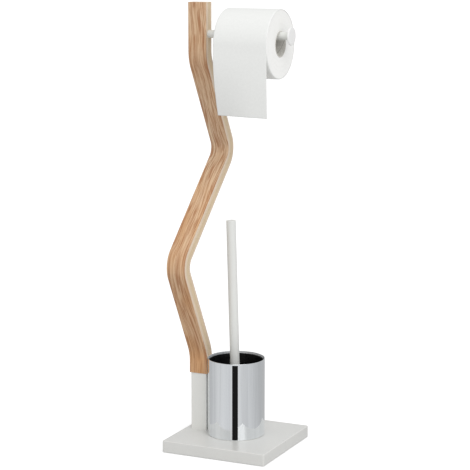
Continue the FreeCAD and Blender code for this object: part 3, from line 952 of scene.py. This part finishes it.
def strand(shape, root, tip):
    """One tapered filament from its root to its tip."""
    way = tip - root
    turn = way.to_track_quat("Z", "Y").to_matrix().to_4x4()
    bmesh.ops.create_cone(shape, segments=5, radius1=STRAND_THICK, radius2=STRAND_THICK * 0.7,
                          depth=way.length, cap_ends=True, cap_tris=False,
                          matrix=Matrix.Translation((root + tip) / 2) @ turn)


def outward(place, count):
    """The way out from the brush's axis, for one of a ring of tufts."""
    around = 2 * math.pi * place / count
    return Vector((math.cos(around), math.sin(around), 0))


def build_bristles():
    s = sizes()
    low, high = BOX["brush_bristles"]
    radius = (high.y - low.y) / 2
    rng = random.Random(7)
    shape = bmesh.new()
    span = s.bristle_height - s.bristle_under
    for ring in range(TUFT_RINGS):
        share = ring / (TUFT_RINGS - 1)
        height = s.bristle_under + LOWEST_RING + (span - RINGS_SHORT) * share
        for place in range(TUFTS_ROUND):
            out = outward(place + 0.5 * (ring % 2), TUFTS_ROUND)
            for _ in range(STRANDS):
                spread = Vector((rng.uniform(-1, 1), rng.uniform(-1, 1), rng.uniform(-1, 1)))
                reach = radius - TIP_CLEAR - rng.uniform(0, 0.0016)
                top = height + rng.uniform(-0.0022, 0.0022)
                ease = min(1.0, (s.bristle_height - top) / 0.012, (top + 0.004) / 0.014)
                root = out * (s.head_radius - ROOT_DEEP) + UP * height + spread * ROOT_SPREAD
                tip = out * (reach * (0.86 + 0.14 * ease)) + UP * top + spread * TIP_SPREAD
                strand(shape, root, tip)
    for ring, count in UNDER_RINGS:
        for place in range(count):
            out = outward(place, count)
            for _ in range(STRANDS):
                spread = Vector((rng.uniform(-1, 1), rng.uniform(-1, 1), 0))
                root = out * ring + UP * (s.bristle_under + 0.0005) + spread * UNDER_SPREAD[0]
                tip = (out * ring * UNDER_FAN + UP * (0.0006 + rng.uniform(0, 0.001))
                       + spread * UNDER_SPREAD[1])
                strand(shape, root, tip)
    place = on_brush(-(s.collar_height + s.bristle_height))
    bmesh.ops.transform(shape, matrix=place, verts=shape.verts)
    add_piece(shape, "bristles", "brush", "black_bristle", bristle_fibre(), "brush_bristles")


# --- Paper roll ----------------------------------------------------------------------

END_RIDGES = 16                # turns of paper that stand a little proud on a cut end
RIDGE_DEPTH = 0.0004
EDGE_ROUND = 0.002
CORE_SHOWS = 0.0006            # how far the core stands out of the paper
CORE_WALL = 0.001
CORE_END_ROUND = 0.0002
HAIR = 0.00005                 # keeps the paper and its core apart
SOFT_DENT = 0.00014


def build_roll():
    low, high = BOX["paper_roll"]
    centre = middle(low, high)
    radius = (high.z - low.z) / 2 - 0.0002
    width = high.x - low.x
    core_low, core_high = BOX["roll_core"]
    core_r = (core_high.z - core_low.z) / 2
    rng = random.Random(3)
    ridges = [(core_r + (radius - core_r) * i / END_RIDGES, rng.uniform(0.0, RIDGE_DEPTH))
              for i in range(1, END_RIDGES)]
    ridges.insert(0, (core_r + HAIR, CORE_SHOWS))
    outline = [(r, h, 0) for r, h in ridges]
    outline += [(radius, 0, EDGE_ROUND), (radius, width, EDGE_ROUND)]
    outline += [(r, width - h, 0) for r, h in reversed(ridges)]
    place = along_x(low.x, centre.y, centre.z)
    roll = turned(outline, 160, place)
    for vert in roll.verts:
        out = Vector((0, vert.co.y - centre.y, vert.co.z - centre.z))
        if out.length < core_r + CORE_WALL:
            continue
        soft = noise.noise(vert.co * 38) + 0.5 * noise.noise(vert.co * 110)
        vert.co -= out.normalized() * (0.00012 + SOFT_DENT * soft)
    add_piece(roll, "tissue_roll", "roll", "tissue", tissue(centre, radius, width),
              "paper_roll")
    outer, inner = core_r - HAIR, core_r - CORE_WALL
    core = turned([(r, x, CORE_END_ROUND) for r, x in ((outer, 0), (outer, width),
                                                       (inner, width), (inner, 0))],
                  128, place)
    add_piece(core, "cardboard_core", "roll", "core_board", cardboard(centre, core_r),
              "roll_core")


SHEET_ACROSS = 92
SHEET_DOWN = 300
SHEET_TURN = math.radians(348)  # how far the sheet goes round the roll
EDGE_SOFT = 0.9
TOOTH = 0.0005                 # teeth of the torn edge
STRAIGHT_RUN = 0.02            # hangs straight down for this much before it drifts back
RIPPLE = 0.0007
CURL = 0.0012


def sheet_measures():
    """Ends of the roll, the sheet's turn round it and how far it hangs below its axis."""
    low, high = BOX["paper_roll"]
    radius = (high.z - low.z) / 2 + sizes().sheet_gap
    return low, high, radius, middle(low, high).z - BOX["hanging_sheet"][0].z


def sheet_point(x_share, down, total):
    """Where a point of the flat tissue lies: round the roll first, then hanging in front."""
    s = sizes()
    low, high, radius, drop = sheet_measures()
    centre = middle(low, high)
    x = low.x + x_share * (high.x - low.x)
    hung = down - (total - drop)
    if hung < 0:
        angle = -hung / radius
        from_edge = min(x - low.x, high.x - x)
        slope = EDGE_SOFT * max(0.0, 1 - from_edge / (EDGE_SOFT * EDGE_ROUND))
        slope *= min(1.0, angle / 0.4)
        radius -= EDGE_ROUND * (1 - math.sqrt(1 - slope * slope))
        return Vector((x, centre.y - radius * math.cos(angle),
                       centre.z + radius * math.sin(angle)))
    share = max(0.0, (hung - STRAIGHT_RUN) / (drop - STRAIGHT_RUN))
    ease = share * share * (3 - share) / 2
    back = s.sheet_left_back * (1 - x_share) + s.sheet_right_back * x_share
    ripple = RIPPLE * math.sin(7.0 * x_share + 1.0) * share
    curl = CURL * max(0.0, share - 0.8) * 5 * (0.5 - x_share)
    y = centre.y - radius + back * ease + ripple + curl
    return Vector((x, y, centre.z - hung))


def build_sheet():
    low, high, radius, drop = sheet_measures()
    width = high.x - low.x
    total = drop + radius * SHEET_TURN
    shape = bmesh.new()
    bmesh.ops.create_grid(shape, x_segments=SHEET_ACROSS, y_segments=SHEET_DOWN, size=0.5,
                          calc_uvs=True)
    uv = shape.loops.layers.uv.verify()
    for face in shape.faces:
        for loop in face.loops:
            loop[uv].uv = ((loop.vert.co.x + 0.5) * width, (loop.vert.co.y + 0.5) * total)
    for vert in shape.verts:
        x_share = vert.co.x + 0.5
        down = (0.5 - vert.co.y) * total
        if down > total - 1e-6:
            down -= TOOTH * (int(round(x_share * SHEET_ACROSS)) % 2)
        vert.co = sheet_point(x_share, down, total)
    sheet = keep_piece(shape, "tissue_end", "sheet", "tissue", sheet_tissue(), "hanging_sheet")
    thick = sheet.modifiers.new("thickness", "SOLIDIFY")
    thick.thickness = sizes().sheet_thick
    thick.offset = 1.0


# --- Stage ---------------------------------------------------------------------------

CAMERA_TURN = math.radians(25.19)
CAMERA_DROP = math.radians(10.15)
CAMERA_DISTANCE = 2.7875
CAMERA_AIM = Vector((-0.0024, 0.0, 0.3534))
CAMERA_LENS = 131.4
FLOOR_RADIUS = 60.0
KEY_TURN = 42                  # degrees from the front towards the right
KEY_HEIGHT = 42                # degrees above the floor
FILL_PLACE = Vector((0.62, -0.22, 0.64))
FILL_AIM = Vector((0.08, 0.0, 0.66))
REFLECTOR_INNER = 0.14
REFLECTOR_OUTER = 4.0


def add_light(name, kind, strength, **settings):
    lamp = bpy.data.lights.new(name, kind)
    lamp.energy = strength
    for key, value in settings.items():
        setattr(lamp, key, value)
    return in_scene(name, lamp)


def seen_by_camera(tree, other, seen, target):
    """One shader for camera rays and another for all the rest."""
    path = put(tree, "ShaderNodeLightPath")
    mix = put(tree, "ShaderNodeMixShader", {0: path.outputs["Is Camera Ray"]})
    tree.links.new(other, mix.inputs[1])
    tree.links.new(seen, mix.inputs[2])
    tree.links.new(mix.outputs[0], tree.nodes[target].inputs["Surface"])


def backdrop_paint():
    """Pale paint that looks evenly lit, while what it gives back to the object is soft."""
    material, tree, shader = new_material("floor_paint", Base_Color=(0.64, 0.64, 0.64, 1),
                                          Roughness=0.9, Specular_IOR_Level=0.1)
    lit = put(tree, "ShaderNodeEmission", {"Color": WHITE, "Strength": 0.55})
    both = put(tree, "ShaderNodeAddShader")
    tree.links.new(shader.outputs[0], both.inputs[0])
    tree.links.new(lit.outputs[0], both.inputs[1])
    seen_by_camera(tree, shader.outputs[0], both.outputs[0], "Material Output")
    return material


def studio_world():
    world = bpy.data.worlds.new("studio")
    world.use_nodes = True
    tree = world.node_tree
    soft = tree.nodes["Background"]
    soft.inputs["Color"].default_value = WHITE
    soft.inputs["Strength"].default_value = 0.66
    white = put(tree, "ShaderNodeBackground", {"Color": WHITE, "Strength": 1.0})
    seen_by_camera(tree, soft.outputs[0], white.outputs[0], "World Output")
    return world


# How bright the studio round the cup is: (turn from the front in degrees, strength)
STUDIO_BRIGHTNESS = (
    (-180, 0.50), (-150, 0.52), (-132, 0.53), (-114, 0.55), (-96, 0.60), (-84, 0.60),
    (-75, 0.64), (-69, 0.66), (-66, 0.60), (-63, 0.67), (-54, 0.71), (-42, 0.73), (-33, 0.74),
    (-24, 0.72), (0, 0.74), (12, 0.74), (24, 0.62), (36, 0.63), (48, 0.69), (62, 0.62),
    (78, 0.575), (90, 0.525), (102, 0.50), (114, 0.51), (132, 0.50), (180, 0.50))


def reflector_paint():
    """Soft uneven glow of a studio, as a polished cup mirrors it."""
    material = bpy.data.materials.new("reflector_paint")
    material.use_nodes = True
    tree = material.node_tree
    tree.nodes.remove(tree.nodes["Principled BSDF"])
    turned_back = put(tree, "ShaderNodeVectorRotate", {"Vector": object_vector(tree),
                                                       "Angle": -CAMERA_TURN})
    parts = split(tree, turned_back.outputs[0])
    turn = calc(tree, "ARCTAN2", parts["X"], times(tree, parts["Y"], -1.0))
    ramp = put(tree, "ShaderNodeValToRGB", {0: remapped(tree, turn, -math.pi, math.pi)})
    stops = ramp.color_ramp.elements
    while len(stops) < len(STUDIO_BRIGHTNESS):
        stops.new(0.5)
    for stop, (degrees, strength) in zip(stops, STUDIO_BRIGHTNESS):
        stop.position = (degrees + 180) / 360
        stop.color = (strength, strength, strength, 1)
    lit = put(tree, "ShaderNodeEmission", {"Color": ramp.outputs["Color"], "Strength": 1.0})
    tree.links.new(lit.outputs[0], tree.nodes["Material Output"].inputs["Surface"])
    return material


def floor_object(name, shape, material, height):
    """A flat part of the stage, just above or under the ground."""
    mesh = bpy.data.meshes.new(name)
    shape.to_mesh(mesh)
    shape.free()
    made = in_scene(name, mesh)
    mesh.materials.append(material)
    made.location.z = height
    return made


def build_stage():
    shape = bmesh.new()
    bmesh.ops.create_circle(shape, cap_ends=True, segments=96, radius=FLOOR_RADIUS)
    floor_object("floor", shape, backdrop_paint(), -0.0001)
    # A ring that only shiny surfaces see
    shape = bmesh.new()
    rim = bmesh.ops.create_circle(shape, cap_ends=False, segments=96,
                                  radius=REFLECTOR_INNER)["verts"]
    edges = list({edge for vert in rim for edge in vert.link_edges})
    wider = bmesh.ops.extrude_edge_only(shape, edges=edges)["geom"]
    far = [g for g in wider if isinstance(g, bmesh.types.BMVert)]
    growth = REFLECTOR_OUTER / REFLECTOR_INNER
    bmesh.ops.scale(shape, vec=(growth, growth, 1), verts=far)
    ring = floor_object("reflector", shape, reflector_paint(), 0.0002)
    ring.visible_camera = ring.visible_diffuse = ring.visible_shadow = False
    bpy.context.scene.world = studio_world()
    key = add_light("key", "SUN", 1.28, angle=math.radians(50))
    key.rotation_euler = (math.radians(90 - KEY_HEIGHT), 0, math.radians(KEY_TURN))
    fill = add_light("roll_fill", "AREA", 0.38, size=0.5)
    fill.location = FILL_PLACE
    fill.rotation_euler = (FILL_AIM - FILL_PLACE).to_track_quat("-Z", "Y").to_euler()
    fill.visible_camera = fill.visible_glossy = False
    lens = bpy.data.cameras.new("camera")
    lens.lens = CAMERA_LENS
    lens.sensor_width = 36.0
    camera = in_scene("camera", lens)
    back = Vector((math.sin(CAMERA_TURN) * math.cos(CAMERA_DROP),
                   -math.cos(CAMERA_TURN) * math.cos(CAMERA_DROP), math.sin(CAMERA_DROP)))
    camera.location = CAMERA_AIM + back * CAMERA_DISTANCE
    camera.rotation_euler = (-back).to_track_quat("-Z", "Y").to_euler()
    bpy.context.scene.camera = camera
    bpy.context.scene.view_settings.view_transform = "Standard"


# --- Operators, panel and registration -----------------------------------------------

class BuildBase(bpy.types.Operator):
    """Board, its pads and the screws under it"""

    bl_idname = "stand.base"
    bl_label = "Base board"

    def execute(self, context):
        build_base()
        return {"FINISHED"}


class BuildFoot(bpy.types.Operator):
    """White foot block and its dowels"""

    bl_idname = "stand.foot"
    bl_label = "Foot block"

    def execute(self, context):
        build_foot()
        return {"FINISHED"}


class BuildPost(bpy.types.Operator):
    """Bent post: two face veneers and the plies between them"""

    bl_idname = "stand.post"
    bl_label = "Bent post"

    def execute(self, context):
        build_post()
        return {"FINISHED"}


class BuildArm(bpy.types.Operator):
    """Roll arm with its end disc and fixings"""

    bl_idname = "stand.arm"
    bl_label = "Roll arm"

    def execute(self, context):
        build_arm()
        return {"FINISHED"}


class BuildCup(bpy.types.Operator):
    """Polished sleeve, trim strip, floor plate and pad"""

    bl_idname = "stand.cup"
    bl_label = "Cup"

    def execute(self, context):
        build_cup()
        return {"FINISHED"}


class BuildLiner(bpy.types.Operator):
    """Black liner of the cup"""

    bl_idname = "stand.liner"
    bl_label = "Liner"

    def execute(self, context):
        build_liner()
        return {"FINISHED"}


class BuildBrush(bpy.types.Operator):
    """Brush handle, its end and the head's core"""

    bl_idname = "stand.brush"
    bl_label = "Brush"

    def execute(self, context):
        build_brush()
        return {"FINISHED"}


class BuildBristles(bpy.types.Operator):
    """Bristle tufts of the brush head"""

    bl_idname = "stand.bristles"
    bl_label = "Bristles"

    def execute(self, context):
        build_bristles()
        return {"FINISHED"}


class BuildRoll(bpy.types.Operator):
    """Tissue roll and its cardboard core"""

    bl_idname = "stand.roll"
    bl_label = "Tissue roll"

    def execute(self, context):
        build_roll()
        return {"FINISHED"}


class BuildSheet(bpy.types.Operator):
    """Outer turn of tissue and its hanging end"""

    bl_idname = "stand.sheet"
    bl_label = "Hanging tissue"

    def execute(self, context):
        build_sheet()
        return {"FINISHED"}


class BuildStage(bpy.types.Operator):
    """Floor, light and camera"""

    bl_idname = "stand.stage"
    bl_label = "Stage"

    def execute(self, context):
        build_stage()
        return {"FINISHED"}


STEPS = (BuildBase, BuildFoot, BuildPost, BuildArm, BuildCup, BuildLiner, BuildBrush,
         BuildBristles, BuildRoll, BuildSheet, BuildStage)


class StandPanel(bpy.types.Panel):
    """Lists the pieces that can be built"""

    bl_idname = "VIEW3D_PT_stand"
    bl_label = "Brush and roll stand"
    bl_space_type = "VIEW_3D"
    bl_region_type = "UI"
    bl_category = "Stand"

    def draw(self, context):
        for step in STEPS:
            self.layout.operator(step.bl_idname)
        for group_name in ("stand_sizes", "stand_colours"):
            values = getattr(context.scene, group_name)
            for name in values.__annotations__:
                self.layout.prop(values, name)


CLASSES = (StandSizes, StandColours, *STEPS, StandPanel)


def register():
    for item in CLASSES:
        bpy.utils.register_class(item)
    bpy.types.Scene.stand_sizes = PointerProperty(type=StandSizes)
    bpy.types.Scene.stand_colours = PointerProperty(type=StandColours)


def unregister():
    del bpy.types.Scene.stand_colours
    del bpy.types.Scene.stand_sizes
    for item in reversed(CLASSES):
        bpy.utils.unregister_class(item)


def main():
    register()
    for step in STEPS:
        getattr(bpy.ops.stand, step.bl_idname.split(".")[1])()


if __name__ == "__main__":
    main()
